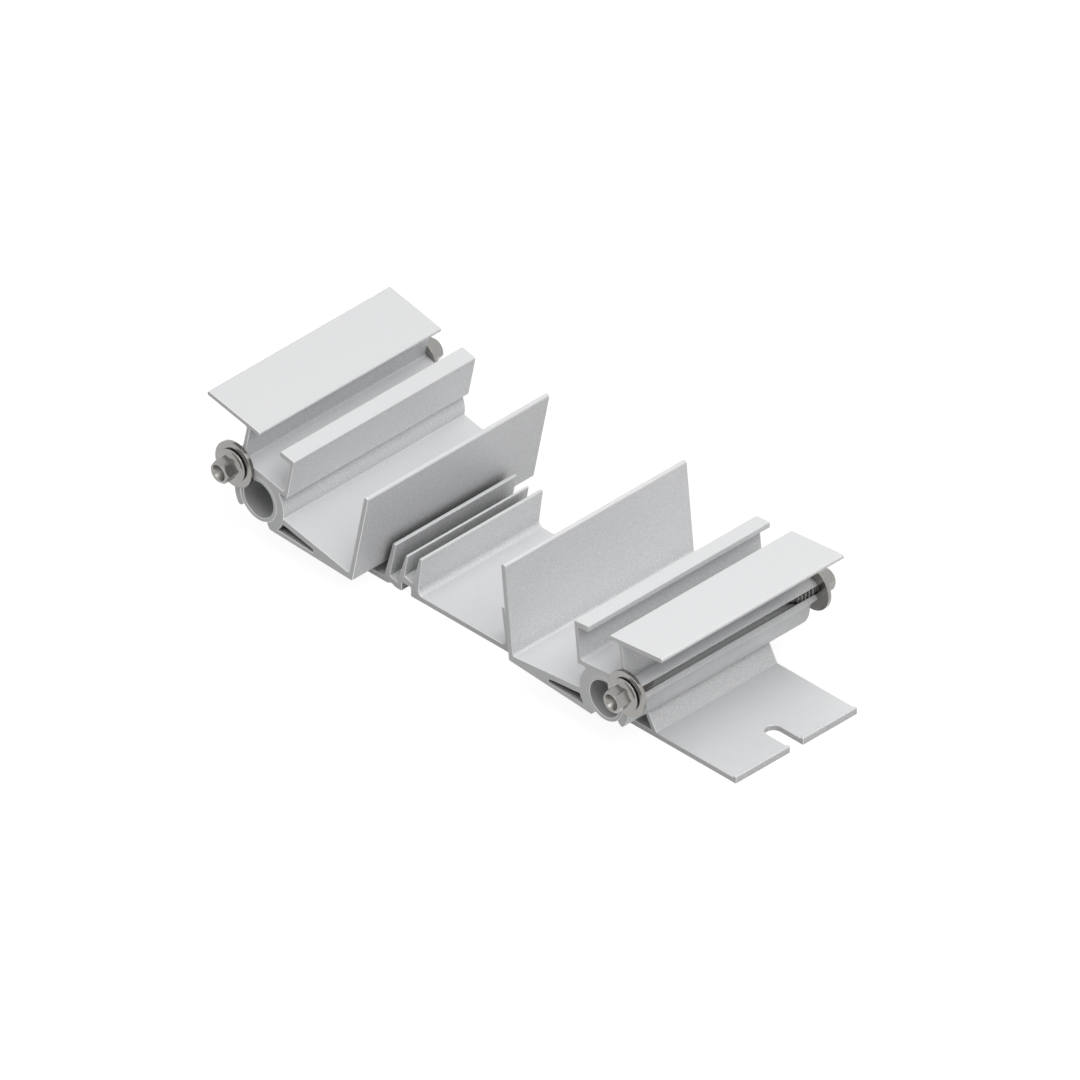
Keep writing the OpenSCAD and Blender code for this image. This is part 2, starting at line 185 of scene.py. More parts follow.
class SupportFinish(bpy.types.PropertyGroup):
    """Colours and fine sizes of the aluminium and stainless surfaces."""

    aluminium: FloatVectorProperty(
        name="Aluminium",
        description="Colour of the extruded skin",
        subtype="COLOR",
        min=0.0,
        max=1.0,
        default=(0.795, 0.8, 0.808),
    )
    cut_aluminium: FloatVectorProperty(
        name="Cut aluminium",
        description="Colour of the sawn ends",
        subtype="COLOR",
        min=0.0,
        max=1.0,
        default=(0.72, 0.725, 0.73),
    )
    # Broken edges: partly the colour of bare metal, partly a painted highlight
    bright_aluminium: FloatVectorProperty(
        name="Broken edges",
        description="Colour of the broken edges",
        subtype="COLOR",
        min=0.0,
        max=1.0,
        default=(0.93, 0.93, 0.93),
    )
    stainless: FloatVectorProperty(
        name="Stainless",
        description="Colour of the screws and washers",
        subtype="COLOR",
        min=0.0,
        max=1.0,
        default=(0.345, 0.336, 0.323),
    )
    edge_break: FloatProperty(
        name="Edge break",
        description="Width of the broken edges on the extrusions",
        unit="LENGTH",
        min=0.0,
        default=0.22 * MM,
    )
    grain: FloatProperty(
        name="Grain",
        description="Size of the fine speckle in the extruded skin",
        unit="LENGTH",
        min=0.0001,
        default=0.8 * MM,
    )
    grain_depth: FloatProperty(
        name="Grain depth",
        description="Depth of the fine speckle",
        unit="LENGTH",
        min=0.0,
        default=0.08 * MM,
    )


def length(name, description, size):
    """Property for one length."""
    return FloatProperty(name=name, description=description, unit="LENGTH", default=size)


class HardwareSizes(bpy.types.PropertyGroup):
    """Sizes of the screws and washers that the frame doesn't give."""

    head_flats: length("Across flats", "Width across the flats", 13.2 * MM)
    flange_rim: length("Flange rim", "Height of the flange's rim", 1.9 * MM)
    flange_cone: length("Flange cone", "Height of the flange's cone", 1.5 * MM)
    head_bore: length("Head hollow", "Radius of the head's hollow", 5.15 * MM)
    head_bore_depth: length("Hollow depth", "Depth of the head's hollow", 9.0 * MM)
    washer_hole: length("Washer hole", "Radius of the washer's hole", 5.25 * MM)
    thread_crest: length("Thread crest", "Radius at the thread's crest", 4.7 * MM)
    coarse_pitch: length("Coarse pitch", "Pitch of the far screws", 3.07 * MM)
    fine_pitch: length("Fine pitch", "Pitch of the near screws", 1.5 * MM)
    point_length: length("Point", "Length of the far screws' point", 9.6 * MM)


class StageSettings(bpy.types.PropertyGroup):
    """Camera and light."""

    azimuth: FloatProperty(
        name="Azimuth", description="Camera direction round the support, in degrees", default=45.0
    )
    elevation: FloatProperty(
        name="Elevation", description="Camera height above the horizon, in degrees", default=35.264
    )
    view_width: FloatProperty(
        name="View width", description="Width of the picture", unit="LENGTH", default=0.63077
    )
    sky: FloatProperty(name="Sky", description="Strength of the studio's walls", default=1.0)
    floor_size: FloatProperty(
        name="Floor", description="Width of the floor", unit="LENGTH", default=6.0
    )


def scaled_colour(colour, factor):
    """A colour made lighter or darker, as red, green, blue and alpha."""
    return tuple(min(1.0, channel * factor) for channel in colour) + (1.0,)


class NodeBench:
    """Small helper that adds nodes to one tree and wires them."""

    def __init__(self, tree):
        self.tree = tree
        self.column = 0

    def add(self, kind, inputs=None, **settings):
        made = self.tree.nodes.new(kind)
        self.column += 1
        made.location = (self.column * NODE_SPACING, 0)
        for name, value in settings.items():
            setattr(made, name, value)
        for name, value in (inputs or {}).items():
            self.feed(made.inputs[name], value)
        return made

    def feed(self, socket, value):
        if isinstance(value, bpy.types.NodeSocket):
            self.tree.links.new(value, socket)
        else:
            socket.default_value = value

    def group(self, tree, inputs=None):
        return self.add("ShaderNodeGroup", inputs, node_tree=tree).outputs

    def math(self, operation, first, second=None, third=None):
        made = self.add("ShaderNodeMath", operation=operation)
        for socket, value in zip(made.inputs, (first, second, third)):
            if value is not None:
                self.feed(socket, value)
        return made.outputs[0]

    def remap(self, value, low, high, new_low, new_high):
        inputs = {
            "Value": value,
            "From Min": low,
            "From Max": high,
            "To Min": new_low,
            "To Max": new_high,
        }
        return self.add("ShaderNodeMapRange", inputs).outputs["Result"]

    def spread(self, noise, low=0.0, high=1.0):
        """Spreads a noise, which keeps near its middle, over a range."""
        return self.remap(noise, *NOISE_RANGE, low, high)

    def object_place(self):
        return self.add("ShaderNodeTexCoord").outputs["Object"]

    def noise(self, place, scale, detail):
        """Noise in space."""
        inputs = {"Vector": place, "Scale": scale, "Detail": detail}
        return self.add("ShaderNodeTexNoise", inputs).outputs["Fac"]

    def noise_along(self, travel, detail):
        """Noise along one length."""
        inputs = {"W": travel, "Scale": 1.0, "Detail": detail}
        return self.add("ShaderNodeTexNoise", inputs, noise_dimensions="1D").outputs["Fac"]

    def bump(self, height, depth, strength=1.0):
        inputs = {"Strength": strength, "Distance": depth, "Height": height}
        return self.add("ShaderNodeBump", inputs)

    def blend_colour(self, factor, first, second):
        made = self.add("ShaderNodeMix", data_type="RGBA")
        self.feed(made.inputs[0], factor)
        self.feed(made.inputs[6], first)
        self.feed(made.inputs[7], second)
        return made.outputs[2]

    def blend_value(self, factor, first, second):
        made = self.add("ShaderNodeMix", data_type="FLOAT")
        self.feed(made.inputs[0], factor)
        self.feed(made.inputs[2], first)
        self.feed(made.inputs[3], second)
        return made.outputs[0]

    def shades(self, tone, colour, darkest, lightest):
        """Shades of a colour, from the darkest at tone 0 to the lightest at tone 1."""
        return self.blend_colour(
            tone, scaled_colour(colour, darkest), scaled_colour(colour, lightest)
        )


def new_group(name, inputs, outputs):
    """Empty shader node group with named inputs and their values, and named outputs."""
    tree = bpy.data.node_groups.new(name, "ShaderNodeTree")
    for label, value in inputs.items():
        socket = tree.interface.new_socket(
            name=label, in_out="INPUT", socket_type="NodeSocketFloat"
        )
        socket.default_value = value
    for label in outputs:
        tree.interface.new_socket(name=label, in_out="OUTPUT", socket_type="NodeSocketFloat")
    bench = NodeBench(tree)
    source = bench.add("NodeGroupInput")
    target = bench.add("NodeGroupOutput")
    return tree, bench, source.outputs, target.inputs


def blasted_grain_group():
    """Fine irregular grain of a satin surface: a broad tone, a sharp speckle and a height."""
    tree, bench, given, result = new_group(
        "Blasted grain", {"Size": 0.9 * MM}, ("Tone", "Speckle", "Height")
    )
    place = bench.object_place()
    scale = bench.math("DIVIDE", 1.0, given["Size"])
    fine = bench.noise(place, scale, 1.0)
    cloud = bench.noise(place, bench.math("MULTIPLY", scale, CLOUD_SCALE), 2.0)
    share = bench.math("MULTIPLY", fine, 1.0 - CLOUD_SHARE)
    bench.feed(result["Tone"], bench.math("MULTIPLY_ADD", cloud, CLOUD_SHARE, share))
    bench.feed(result["Speckle"], bench.remap(fine, *SPECKLE_RANGE, -0.5, 0.5))
    bench.feed(result["Height"], fine)
    return tree


def die_lines_group():
    """Faint lines that an extrusion die leaves along Y."""
    tree, bench, given, result = new_group("Die lines", {"Spacing": 0.5 * MM}, ("Height",))
    place = bench.object_place()
    scale = bench.math("DIVIDE", 1.0, given["Spacing"])
    squeezed = bench.add("ShaderNodeVectorMath", operation="MULTIPLY")
    bench.feed(squeezed.inputs[0], place)
    squeezed.inputs[1].default_value = DIE_LINE_SQUEEZE
    bench.feed(result["Height"], bench.noise(squeezed.outputs[0], scale, 2.0))
    return tree


def sawn_end_group():
    """Mask of the sawn ends, whose faces look along Y, and the blade's arcs across them.

    Upright is 1 on walls and 0 on floors."""
    tree, bench, given, result = new_group(
        "Sawn end", {"Mark Spacing": 0.7 * MM}, ("Mask", "Upright", "Height")
    )
    normal = bench.add("ShaderNodeNewGeometry").outputs["Normal"]
    facing = bench.add("ShaderNodeSeparateXYZ", {"Vector": normal}).outputs
    mask = bench.remap(bench.math("ABSOLUTE", facing["Y"]), *SAWN_FACING, 0.0, 1.0)
    apart = bench.add("ShaderNodeVectorMath", operation="DISTANCE")
    bench.feed(apart.inputs[0], bench.object_place())
    apart.inputs[1].default_value = SAW_CENTRE
    rings = bench.math("DIVIDE", apart.outputs["Value"], given["Mark Spacing"])
    upright = bench.remap(bench.math("ABSOLUTE", facing["Z"]), *FLOOR_FACING, 1.0, 0.0)
    bench.feed(result["Mask"], mask)
    bench.feed(result["Upright"], upright)
    bench.feed(result["Height"], bench.noise_along(rings, 3.0))
    return tree


def tight_corner_group():
    """Masks of places that little light reaches: Mask for slits, Shelter for any corner."""
    tree, bench, given, result = new_group(
        "Tight corner", {"Reach": 14.0 * MM}, ("Mask", "Shelter")
    )
    reach = {"Distance": given["Reach"]}
    openness = bench.add("ShaderNodeAmbientOcclusion", reach, samples=8).outputs["AO"]
    bench.feed(result["Mask"], bench.remap(openness, *SLIT_OPENNESS, 1.0, 0.0))
    bench.feed(result["Shelter"], bench.remap(openness, *CORNER_OPENNESS, 1.0, 0.0))
    return tree


def bore_group():
    """Mask of a round bore along Y: 1 inside a radius about an axis."""
    tree, bench, given, result = new_group(
        "Round bore", {"Axis X": 0.0, "Axis Z": 0.0, "Radius": 5.0 * MM}, ("Mask",)
    )
    place = bench.add("ShaderNodeSeparateXYZ", {"Vector": bench.object_place()}).outputs
    across = bench.math("SUBTRACT", place["X"], given["Axis X"])
    above = bench.math("SUBTRACT", place["Z"], given["Axis Z"])
    across = bench.math("MULTIPLY", across, across)
    above = bench.math("MULTIPLY", above, above)
    reach = bench.math("SQRT", bench.math("ADD", across, above))
    bench.feed(result["Mask"], bench.math("LESS_THAN", reach, given["Radius"]))
    return tree


def turned_rings_group():
    """Fine rings that a turning tool leaves, from a piece's own distance to its axis.

    Shank is 1 below the washer's seat, and Reach is the distance to the axis."""
    tree, bench, given, result = new_group(
        "Turned rings", {"Spacing": 0.25 * MM}, ("Tone", "Shank", "Reach", "Height")
    )
    reach = bench.add("ShaderNodeAttribute", attribute_name="turn_radius").outputs["Fac"]
    along = bench.add("ShaderNodeAttribute", attribute_name="turn_length").outputs["Fac"]
    travel = bench.math("DIVIDE", bench.math("ADD", reach, along), given["Spacing"])
    rings = bench.noise_along(travel, 2.0)
    spots = bench.noise(bench.object_place(), SPOT_SCALE, 2.0)
    share = bench.math("MULTIPLY", rings, 1.0 - SPOT_SHARE)
    bench.feed(result["Tone"], bench.math("MULTIPLY_ADD", spots, SPOT_SHARE, share))
    bench.feed(result["Shank"], bench.math("LESS_THAN", along, 0.0))
    bench.feed(result["Reach"], reach)
    bench.feed(result["Height"], rings)
    return tree


def new_material(name):
    """Material with its node helper and its shader's inputs."""
    material = bpy.data.materials.new(name)
    material.use_nodes = True
    shader = material.node_tree.nodes["Principled BSDF"]
    return NodeBench(material.node_tree), shader.inputs


def aluminium_skin(groups, finish):
    """Satin extruded aluminium with sawn ends, grainier and with a painted shade where little
    light comes, and a painted shade inside the bores.
    """
    bench, shader = new_material("satin_aluminium")
    colour = finish.aluminium
    grain = bench.group(groups["grain"], {"Size": finish.grain})
    lines = bench.group(groups["lines"])
    sawn = bench.group(groups["sawn"])
    tight = bench.group(groups["tight"])

    contrast = bench.math("MULTIPLY_ADD", tight["Shelter"], CORNER_GRAIN, OPEN_GRAIN)
    contrast = bench.math("MULTIPLY_ADD", tight["Mask"], SLIT_GRAIN, contrast)
    contrast = bench.math("MULTIPLY_ADD", sawn["Upright"], UPRIGHT_GRAIN, contrast)
    tone = bench.math("MULTIPLY_ADD", grain["Speckle"], contrast, 0.5)
    skin = bench.shades(tone, colour, *SKIN_SHADES)
    cut_tone = bench.spread(sawn["Height"])
    cut = bench.shades(cut_tone, finish.cut_aluminium, *CUT_SHADES)
    metal = bench.blend_colour(sawn["Mask"], skin, cut)

    # Painted shade: sheltered corners are darkened towards a dark share of the colour
    painted_shade = bench.math("MULTIPLY", tight["Shelter"], PAINTED_CORNER_SHARE)
    metal = bench.blend_colour(painted_shade, metal, scaled_colour(colour, PAINTED_CORNER_SHADE))
    # Painted shade: slits are darkened nearly to black
    painted_shade = bench.math("MULTIPLY", tight["Mask"], PAINTED_SLIT_SHARE)
    metal = bench.blend_colour(painted_shade, metal, bench.shades(tone, colour, *PAINTED_SLIT_SHADES))

    # Painted shade inside the screw channels and the hinge tubes
    places = [Place(side, "near") for side in SIDES]
    bores = [(place.x, place.z, CHANNEL_BORE) for place in places]
    for joint in frame["joints"]:
        bores.append((joint["pos_m"][0], joint["pos_m"][2], HINGE_BORE))
    for x, z, radius in bores:
        bore = bench.group(groups["bore"], {"Axis X": x, "Axis Z": z, "Radius": radius})
        inside = bench.shades(tone, colour, *PAINTED_BORE_SHADES)
        metal = bench.blend_colour(bore["Mask"], metal, inside)

    rough_skin = bench.spread(grain["Tone"], *SKIN_ROUGHNESS)
    rough_cut = bench.remap(cut_tone, 0.0, 1.0, *CUT_ROUGHNESS)
    bump = bench.bump(grain["Height"], finish.grain_depth)
    line_bump = bench.bump(lines["Height"], FINE_DEPTH, DIE_LINE_STRENGTH)
    bench.feed(line_bump.inputs["Normal"], bump.outputs["Normal"])
    bench.feed(shader["Base Color"], metal)
    bench.feed(shader["Metallic"], ALUMINIUM_METALLIC)
    bench.feed(shader["Roughness"], bench.blend_value(sawn["Mask"], rough_skin, rough_cut))
    bench.feed(shader["Normal"], line_bump.outputs["Normal"])


def aluminium_edge(groups, finish):
    """Brighter metal where an edge is broken, partly bare metal and partly a painted highlight,
    with a grain half the size.
    """
    bench, shader = new_material("broken_edge_and_painted_highlight")
    grain = bench.group(groups["grain"], {"Size": finish.grain * 0.5})
    tone = bench.spread(grain["Tone"])
    bench.feed(shader["Base Color"], bench.shades(tone, finish.bright_aluminium, *EDGE_SHADES))
    bench.feed(shader["Roughness"], bench.spread(grain["Tone"], *EDGE_ROUGHNESS))
    bench.feed(shader["Metallic"], EDGE_METALLIC)


def stainless_skin(groups, finish):
    """Turned stainless steel of the screws and washers, with a painted shade down in the thread of
    the shank.
    """
    crest = bpy.context.scene.hardware_sizes.thread_crest
    bench, shader = new_material("turned_stainless")
    rings = bench.group(groups["rings"])
    colour = bench.shades(bench.spread(rings["Tone"]), finish.stainless, *STAINLESS_SHADES)
    # Painted shade: the thread of the shank is darkened towards its root
    root = bench.remap(rings["Reach"], crest - ROOT_REACH, crest, *PAINTED_THREAD_SHARE)
    root = bench.math("MULTIPLY", rings["Shank"], root)
    colour = bench.blend_colour(root, colour, scaled_colour(finish.stainless, PAINTED_ROOT_SHADE))
    bump = bench.bump(rings["Height"], FINE_DEPTH, RING_STRENGTH)
    bench.feed(shader["Base Color"], colour)
    bench.feed(shader["Roughness"], bench.spread(rings["Tone"], *STAINLESS_ROUGHNESS))
    bench.feed(shader["Metallic"], 1.0)
    bench.feed(shader["Normal"], bump.outputs["Normal"])


def finishes():
    """The three materials, made once."""
    if "satin_aluminium" not in bpy.data.materials:
        groups = {
            "grain": blasted_grain_group(),
            "lines": die_lines_group(),
            "sawn": sawn_end_group(),
            "tight": tight_corner_group(),
            "bore": bore_group(),
            "rings": turned_rings_group(),
        }
        finish = bpy.context.scene.support_finish
        aluminium_skin(groups, finish)
        aluminium_edge(groups, finish)
        stainless_skin(groups, finish)
    return bpy.data.materials


def dress_extrusion(name):
    """Gives an extrusion of the frame its finish and breaks its sharp edges."""
    node = frame["nodes"][name]
    finish = bpy.context.scene.support_finish
    node.data.materials.clear()
    node.data.materials.append(finishes()["satin_aluminium"])
    node.data.materials.append(finishes()["broken_edge_and_painted_highlight"])
    for face in node.data.polygons:
        face.use_smooth = True
    weld = node.modifiers.new("join", "WELD")
    weld.merge_threshold = JOIN_REACH
    flat = node.modifiers.new("plain_faces", "DECIMATE")
    flat.decimate_type = "DISSOLVE"
    flat.angle_limit = math.radians(PLAIN_ANGLE)
    edge = node.modifiers.new("edge_break", "BEVEL")
    edge.width = finish.edge_break
    edge.segments = 2
    edge.limit_method = "ANGLE"
    edge.angle_limit = math.radians(EDGE_ANGLE)
    edge.material = node.data.materials.find("broken_edge_and_painted_highlight")
    shade = node.modifiers.new("shade", "WEIGHTED_NORMAL")
    shade.keep_sharp = False


class Place:
    """Where one screw and washer sit: axis, seat on the holder's end, and outward direction."""

    def __init__(self, side, end):
        self.name = f"{side}_{end}"
        self.body = f"{side}_holder_body"
        low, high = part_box(f"{self.name}_washer")
        self.outward = -1 if end == "near" else 1
        self.x = (low[0] + high[0]) / 2
        self.z = (low[2] + high[2]) / 2
        self.seat = high[1] if end == "near" else low[1]
        self.washer_radius = (high[2] - low[2]) / 2
        self.washer_height = high[1] - low[1]
        low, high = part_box(f"{self.name}_screw")
        top, tip = (low[1], high[1]) if end == "near" else (high[1], low[1])
        self.flange_radius = (high[2] - low[2]) / 2
        self.head_top = (top - self.seat) * self.outward
        self.tip = (tip - self.seat) * self.outward

    def point(self, along, radius, angle):
        """A point at a height above the seat, a radius and an angle up from +X."""
        return (
            self.x + radius * math.cos(angle),
            self.seat + self.outward * along,
            self.z + radius * math.sin(angle),
        )


def lathe(name, place, angles, rings, closed):
    """Stainless piece from rings, each with its height and radius.

    Both may be functions of the angle. A ring of radius 0 becomes one point, and a closed lathe
    joins its last ring to its first."""
    points = []
    radii = []
    heights = []
    starts = []
    for height, radius in rings:
        starts.append(len(points))
        spread = angles if callable(radius) or radius > 0 else angles[:1]
        for angle in spread:
            reach = radius(angle) if callable(radius) else radius
            along = height(angle) if callable(height) else height
            points.append(place.point(along, reach, angle))
            radii.append(reach)
            heights.append(along)
    faces = []
    count = len(angles)
    pairs = list(zip(starts, starts[1:]))
    if closed:
        pairs.append((starts[-1], starts[0]))
    ends = starts[1:] + [len(points)]
    size = {start: end - start for start, end in zip(starts, ends)}
    for low, high in pairs:
        for i in range(count):
            j = (i + 1) % count
            if size[low] == 1:
                faces.append((low, high + j, high + i))
            elif size[high] == 1:
                faces.append((low + i, low + j, high))
            else:
                faces.append((low + i, low + j, high + j, high + i))
    if place.outward < 0:
        faces = [face[::-1] for face in faces]
    mesh = bpy.data.meshes.new(name)
    mesh.from_pydata(points, [], faces)
    for label, values in (("turn_radius", radii), ("turn_length", heights)):
        mesh.attributes.new(label, "FLOAT", "POINT").data.foreach_set("value", values)
    mesh.shade_smooth()
    mesh.set_sharp_from_angle(angle=math.radians(CREASE_ANGLE))
    mesh.materials.append(finishes()["turned_stainless"])
    piece = bpy.data.objects.new(name, mesh)
    bpy.context.scene.collection.objects.link(piece)
    return piece


def seat_piece(piece, place, node):
    """Puts a made piece in the place of its node in the frame."""
    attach(piece, place.body)
    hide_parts(node)


def rounded_edge(before, edge, after, size, steps=3):
    """Points that round an edge of a profile, between its two neighbours."""
    here = Vector(edge)
    back = (Vector(before) - here).normalized() * size
    on = (Vector(after) - here).normalized() * size
    rounded = []
    for i in range(steps + 1):
        t = i / steps
        rounded.append(here + back * (1 - t) ** 2 + on * t ** 2)
    return [tuple(point) for point in rounded]


def soft_profile(corners):
    """Closed profile through corners, each with its height, radius and rounding."""
    profile = []
    for i, (height, radius, size) in enumerate(corners):
        before = corners[i - 1][:2]
        after = corners[(i + 1) % len(corners)][:2]
        profile += rounded_edge(before, (height, radius), after, size)
    return profile


def make_washer(place):
    """Large stamped washer with its edges a little rounded."""
    top = place.washer_height
    outer = place.washer_radius
    hole = bpy.context.scene.hardware_sizes.washer_hole
    corners = [
        (0.0, hole, 0.15 * MM),
        (top, hole, 0.3 * MM),
        (top, outer, 0.25 * MM),
        (0.0, outer, 0.15 * MM),
    ]
    angles = [math.tau * i / WASHER_STEPS for i in range(WASHER_STEPS)]
    rings = soft_profile(corners)
    piece = lathe(f"{place.name}_stamped_washer", place, angles, rings, True)
    seat_piece(piece, place, f"{place.name}_washer")


def hexagon(flats, corner, rounding):
    """Radius of a hexagon at an angle, with its corners a little rounded."""
    limit = flats / 2 / math.cos(math.radians(30)) - rounding

    def radius(angle):
        turn = (angle - corner) % (math.tau / 6) - math.tau / 12
        return min(limit, flats / 2 / math.cos(turn))

    return radius


def head_angles(corner):
    """Angles round a head, close together at the hexagon's corners."""
    offsets = [0, 1.2, 3.6, 7, 11, 15, 20, 25, 30, 35, 40, 45, 49, 53, 56.4, 58.8]
    return [corner + math.radians(60 * side + offset) for side in range(6) for offset in offsets]


def head_rings(place, sizes, corner):
    """Rings of a flange head, from the bottom of its hollow over the top and down to the seat."""
    base = place.washer_height
    top = place.head_top
    hexa = hexagon(sizes.head_flats, corner, HEX_ROUNDING)
    bore = sizes.head_bore
    trim = bore + TOP_RING
    floor = top - sizes.head_bore_depth
    rings = [
        (floor, 0.0),
        (floor + 0.25 * MM, 0.7 * MM),
        (floor + 0.9 * MM, 1.25 * MM),
        (top - 0.9 * MM, bore - 0.35 * MM),
        (top - TOP_EDGE, bore),
        (top, bore + 0.2 * MM),
        (top, trim - TOP_EDGE),
        (top - 0.07 * MM, trim - 0.07 * MM),
        (top - TOP_EDGE, trim),
    ]
    rings.append((lambda angle: top - TOP_EDGE - (hexa(angle) - trim) * CHAMFER_SLOPE, hexa))
    rim_top = base + sizes.flange_rim
    outer = place.flange_radius
    foot = sizes.head_flats / 2

    def dish(reach):
        share = (reach - foot) / (outer - RIM_EDGE - foot)
        return rim_top + sizes.flange_cone * (1 - share) ** DISH_CURVE

    def widened(share):
        return lambda angle: hexa(angle) * (1 - share) + (outer - RIM_EDGE) * share

    for step in range(DISH_STEPS + 1):
        reach = widened(step / DISH_STEPS)
        rings.append((lambda angle, reach=reach: dish(reach(angle)), reach))
    for step in range(1, RIM_STEPS + 1):
        turn = math.radians(180) * step / RIM_STEPS
        height = rim_top - RIM_EDGE * (1 - math.cos(turn)) * RIM_SQUASH
        rings.append((height, outer - RIM_EDGE * (1 - math.sin(turn))))
    groove = outer - GROOVE_DEPTH
    rings += [(rim_top - RIM_EDGE * 2 * RIM_SQUASH, groove), (base, groove)]
    return rings


def thread_shape(crest, root, pitch, height, corner):
    """Radius of a screw thread's section at one height, as a function of the angle."""

    def radius(angle):
        phase = (height / pitch - (angle - corner) / math.tau) % 1.0
        flank = (abs(phase - 0.5) * 2 - CREST_SHARE) / FLANK_SHARE
        return crest - (crest - root) * min(1.0, max(0.0, flank))

    return radius


def screw_rings(place, sizes, corner, end, pitch, depth):
    """Rings of a head and of the threaded shank under it, down to the end height."""
    crest = sizes.thread_crest
    rings = head_rings(place, sizes, corner)
    rings.append((place.washer_height - SHANK_GAP, crest))
    length = THREAD_START - end
    count = int(length / (pitch / THREAD_STEPS))
    for i in range(count + 1):
        height = THREAD_START - length * i / count
        root = crest - depth * min(1.0, i / THREAD_STEPS)
        shape = thread_shape(crest, root, pitch, height * place.outward, corner)
        rings.append((height, shape))
    return rings


def make_near_screw(place):
    """Machine screw with a fine thread and a flat, chamfered end."""
    sizes = bpy.context.scene.hardware_sizes
    corner = math.radians(HEAD_CORNERS[place.name])
    end = place.tip
    crest = sizes.thread_crest
    thread_end = end + 1.2 * MM
    rings = screw_rings(place, sizes, corner, thread_end, sizes.fine_pitch, FINE_THREAD_DEPTH)
    rings += [
        (end + 0.9 * MM, crest - 0.6 * MM),
        (end, crest - 1.3 * MM),
        (end, 0.0),
    ]
    piece = lathe(f"{place.name}_machine_screw", place, head_angles(corner), rings, False)
    seat_piece(piece, place, f"{place.name}_screw")


def make_far_screw(place):
    """Thread-forming screw with a coarse thread and a cone point."""
    sizes = bpy.context.scene.hardware_sizes
    corner = math.radians(HEAD_CORNERS[place.name])
    end = place.tip
    pitch = sizes.coarse_pitch
    shoulder = end + sizes.point_length
    rings = screw_rings(place, sizes, corner, shoulder, pitch, COARSE_THREAD_DEPTH)
    for i in range(1, POINT_STEPS):
        share = i / POINT_STEPS
        height = shoulder - sizes.point_length * share
        reach = sizes.thread_crest * (1 - share)
        root = max(0.05 * MM, reach - COARSE_THREAD_DEPTH * (1 - share))
        shape = thread_shape(reach, root, pitch, height * place.outward, corner)
        rings.append((height, shape))
    rings.append((end, 0.0))
    piece = lathe(f"{place.name}_forming_screw", place, head_angles(corner), rings, False)
    seat_piece(piece, place, f"{place.name}_screw")


def shows_background(bench):
    """1 for camera, mirrored and see-through rays, which all meet the plain background."""
    path = bench.add("ShaderNodeLightPath").outputs
    mirrored = bench.math("MAXIMUM", path["Is Glossy Ray"], path["Is Transmission Ray"])
    return bench.math("MAXIMUM", path["Is Camera Ray"], mirrored)


def lit_and_glowing(bench, colour, glow):
    """Matt surface of one colour that also gives off another."""
    matt = bench.add("ShaderNodeBsdfDiffuse", {"Color": colour})
    lift = bench.add("ShaderNodeEmission", {"Color": glow, "Strength": 1.0})
    both = bench.add("ShaderNodeAddShader")
    bench.feed(both.inputs[0], matt.outputs[0])
    bench.feed(both.inputs[1], lift.outputs[0])
    return both.outputs[0]


def make_floor(settings):
    """Floor: grey where it lights the support, and white with a faint shadow where it is seen."""
    half = settings.floor_size / 2
    signs = ((-1, -1), (1, -1), (1, 1), (-1, 1))
    corners = [(half * x, half * y, -FLOOR_GAP) for x, y in signs]
    mesh = bpy.data.meshes.new("floor")
    mesh.from_pydata(corners, [], [(0, 1, 2, 3)])
    floor = bpy.data.objects.new("floor", mesh)
    bpy.context.scene.collection.objects.link(floor)
    material = bpy.data.materials.new("pale_floor")
    material.use_nodes = True
    bench = NodeBench(material.node_tree)
    nodes = material.node_tree.nodes
    nodes.remove(nodes["Principled BSDF"])
    bounce = lit_and_glowing(bench, FLOOR_COLOUR, FLOOR_GLOW)
    backdrop = lit_and_glowing(bench, BACKDROP_COLOUR, BACKDROP_GLOW)
    mixed = bench.add("ShaderNodeMixShader")
    bench.feed(mixed.inputs[0], shows_background(bench))
    bench.feed(mixed.inputs[1], bounce)
    bench.feed(mixed.inputs[2], backdrop)
    bench.feed(nodes["Material Output"].inputs["Surface"], mixed.outputs[0])
    mesh.materials.append(material)


def make_sky(settings):
    """Studio walls: brighter overhead than at the horizon, and white where they are seen."""
    world = bpy.data.worlds.new("studio")
    world.use_nodes = True
    bpy.context.scene.world = world
    bench = NodeBench(world.node_tree)
    nodes = world.node_tree.nodes
    direction = bench.add("ShaderNodeTexCoord").outputs["Generated"]
    height = bench.add("ShaderNodeSeparateXYZ", {"Vector": direction})
    ramp = bench.add("ShaderNodeValToRGB", {"Fac": height.outputs["Z"]})
    steps = ramp.color_ramp.elements
    steps.remove(steps[1])
    for position, level in SKY_STEPS:
        step = steps[0] if position == 0.0 else steps.new(position)
        step.position = position
        step.color = (level, level, level, 1.0)
    walls = nodes["Background"]
    bench.feed(walls.inputs["Color"], ramp.outputs["Color"])
    bench.feed(walls.inputs["Strength"], settings.sky)
    white = bench.add("ShaderNodeBackground", {"Color": WHITE, "Strength": 1.0})
    mixed = bench.add("ShaderNodeMixShader")
    bench.feed(mixed.inputs[0], shows_background(bench))
    bench.feed(mixed.inputs[1], walls.outputs[0])
    bench.feed(mixed.inputs[2], white.outputs[0])
    bench.feed(nodes["World Output"].inputs["Surface"], mixed.outputs[0])


def make_lamp(name, place, width, height, power):
    """One soft box that shines on the support."""
    light = bpy.data.lights.new(name, "AREA")
    light.shape = "RECTANGLE"
    light.size = width
    light.size_y = height
    light.energy = power
    lamp = bpy.data.objects.new(name, light)
    aim = Vector(LAMP_TARGET) - Vector(place)
    lamp.location = place
    lamp.rotation_euler = aim.to_track_quat("-Z", "Y").to_euler()
    bpy.context.scene.collection.objects.link(lamp)


